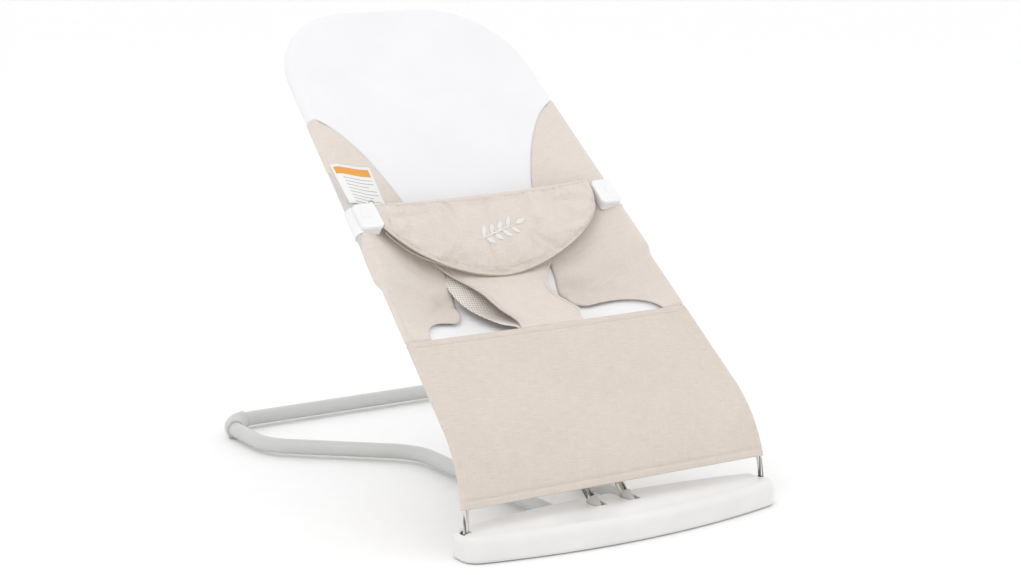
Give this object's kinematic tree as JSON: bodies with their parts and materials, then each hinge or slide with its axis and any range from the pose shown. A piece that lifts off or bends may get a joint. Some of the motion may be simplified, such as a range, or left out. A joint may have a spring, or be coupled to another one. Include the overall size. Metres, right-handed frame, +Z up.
{
  "type": "baby bouncer seat",
  "caption": "Folding baby bouncer: floor foot and bent base tube carry a springy reclining fabric seat with a waist belt, crotch strap and squeeze recline lever.",
  "frame": {"origin": "middle of the footprint, on the floor", "axes": "+X across the seat towards the side on the right as seen from the foot, +Y from the foot to the head end, +Z up"},
  "size_m": [0.408, 0.652, 0.5233],
  "materials": {
    "foot_white": "moulded white plastic with a satin sheen",
    "clip_white": "fine satin white plastic",
    "inner_plastic": "grey acetal",
    "pad_rubber": "soft light grey rubber",
    "tube_white": "white powder coat",
    "bright_wire": "polished steel wire",
    "steel": "plain steel",
    "cloth_white": "smooth white knit",
    "cloth_beige": "fine beige linen weave",
    "mesh": "open cream mesh",
    "label": "white satin label"
  },
  "bodies": {
    "base": {"foot_upper_shell": "foot_white", "foot_lower_plate": "foot_white", "foot_pad_left": "pad_rubber", "foot_pad_center": "pad_rubber", "foot_pad_right": "pad_rubber", "foot_screws": "steel", "tube_saddle_left": "inner_plastic", "tube_saddle_right": "inner_plastic", "shaft_block_left": "inner_plastic", "shaft_block_right": "inner_plastic", "pivot_shaft": "steel", "wire_bush_left": "inner_plastic", "wire_bush_right": "inner_plastic", "base_tube": "tube_white", "rear_foot_left": "pad_rubber", "rear_foot_right": "pad_rubber", "detent_plunger": "steel", "plunger_guide": "inner_plastic", "detent_spring": "steel"},
    "hub": {"recline_hub": "inner_plastic", "bounce_spring_left": "steel", "bounce_spring_right": "steel"},
    "seat": {"rod_carrier_left": "inner_plastic", "rod_carrier_right": "inner_plastic", "support_rod_left": "bright_wire", "support_rod_right": "bright_wire", "rod_link": "clip_white", "seat_crossbar": "bright_wire", "side_wire_left": "bright_wire", "side_wire_right": "bright_wire", "head_tube": "tube_white", "ferrule_left": "bright_wire", "ferrule_right": "bright_wire", "upper_back_panel": "cloth_white", "seat_panel": "cloth_beige", "seat_liner": "cloth_white", "lower_panel": "cloth_beige", "sewn_label": "label", "side_clip_left": "clip_white", "side_clip_right": "clip_white", "handle_housing": "clip_white", "trigger_pin": "steel", "trigger_spring": "steel"},
    "trigger": {"recline_trigger": "clip_white"},
    "harness": {"waist_belt": "cloth_beige", "crotch_strap": "cloth_beige", "mesh_lining": "mesh", "buckle_left": "clip_white", "buckle_right": "clip_white"},
    "button_left": {"release_button_left": "clip_white"},
    "button_right": {"release_button_right": "clip_white"}
  },
  "joints": [
    {"name": "recline", "type": "hinge", "parent": "base", "child": "hub", "pos_m": [0, -0.279, 0.0155], "axis": [1, 0, 0], "range_deg": [-33.5, 0]},
    {"name": "bounce", "type": "hinge", "parent": "hub", "child": "seat", "pos_m": [0, -0.279, 0.0155], "axis": [1, 0, 0], "range_deg": [-2.5, 2.5], "stiffness_Nm_per_rad": 300, "springref_deg": 0.89},
    {"name": "recline_squeeze", "type": "hinge", "parent": "seat", "child": "trigger", "pos_m": [0, 0.05514, 0.25978], "axis": [-1, 0, 0], "range_deg": [0, 6], "stiffness_Nm_per_rad": 0.6, "springref_deg": -2.86},
    {"name": "harness_open", "type": "hinge", "parent": "seat", "child": "harness", "pos_m": [0, -0.14055, 0.20475], "axis": [1, 0, 0], "range_deg": [0, 120]},
    {"name": "release_left", "type": "slide", "parent": "harness", "child": "button_left", "axis": [0, 0.6361, -0.7716], "range_m": [0, 0.0015], "stiffness_N_per_m": 300, "springref_m": -0.001},
    {"name": "release_right", "type": "slide", "parent": "harness", "child": "button_right", "axis": [0, 0.6361, -0.7716], "range_m": [0, 0.0015], "stiffness_N_per_m": 300, "springref_m": -0.001}
  ]
}
